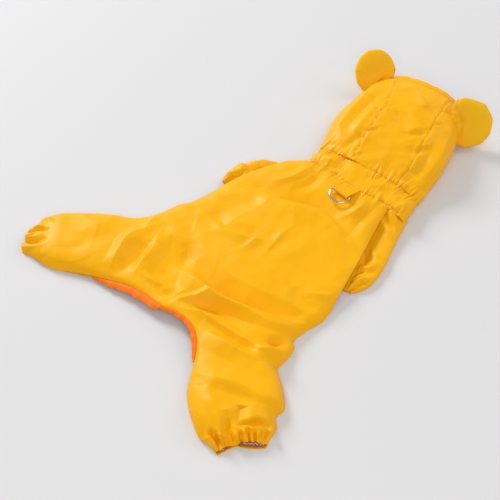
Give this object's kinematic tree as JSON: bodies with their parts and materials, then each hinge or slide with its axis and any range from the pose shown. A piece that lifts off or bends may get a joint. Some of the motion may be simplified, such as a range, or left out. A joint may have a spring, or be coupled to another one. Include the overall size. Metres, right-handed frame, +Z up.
{
  "type": "dog raincoat",
  "caption": "Hooded dog raincoat with leg sleeves, laid out back side up, with round ears, gathered cuffs, a bound tail opening and a hinged leash ring on a tab.",
  "frame": {"origin": "on the coat's resting face, under the middle of its belly", "axes": "+X along the spine toward the hood, +Y toward the coat's left, +Z up from the surface that it lies on"},
  "size_m": [0.5155, 0.3666, 0.0452],
  "materials": {
    "coat_cloth": "golden yellow coated polyester taffeta, soft satin sheen, lightly crumpled",
    "ear_cloth": "the same golden yellow cloth over a soft filling, duller",
    "binding": "orange bias binding, satin",
    "elastic": "brown woven elastic",
    "ring_metal": "bright nickel-plated wire"
  },
  "bodies": {
    "coat": {"back_panel": "coat_cloth", "belly_left": "coat_cloth", "belly_right": "coat_cloth", "leg_under_left": "coat_cloth", "leg_under_right": "coat_cloth", "sleeve_left": "coat_cloth", "sleeve_right": "coat_cloth", "cuff_sleeve_left": "coat_cloth", "cuff_sleeve_right": "coat_cloth", "cuff_rear_left": "coat_cloth", "cuff_rear_right": "coat_cloth", "elastic_rear_left": "elastic", "elastic_rear_right": "elastic", "tail_binding": "binding", "neck_band": "coat_cloth", "hood_centre": "coat_cloth", "hood_side_left": "coat_cloth", "hood_side_right": "coat_cloth", "hood_hem": "coat_cloth", "ear_left_front": "ear_cloth", "ear_left_back": "ear_cloth", "ear_right_front": "ear_cloth", "ear_right_back": "ear_cloth", "leash_tab": "coat_cloth"},
    "leash_ring": {"d_ring": "ring_metal"}
  },
  "joints": [
    {"name": "ring_hinge", "type": "hinge", "parent": "coat", "child": "leash_ring", "pos_m": [0.1285, -0.014, 0.0229], "axis": [0, 1, 0], "range_deg": [0, 165]}
  ]
}
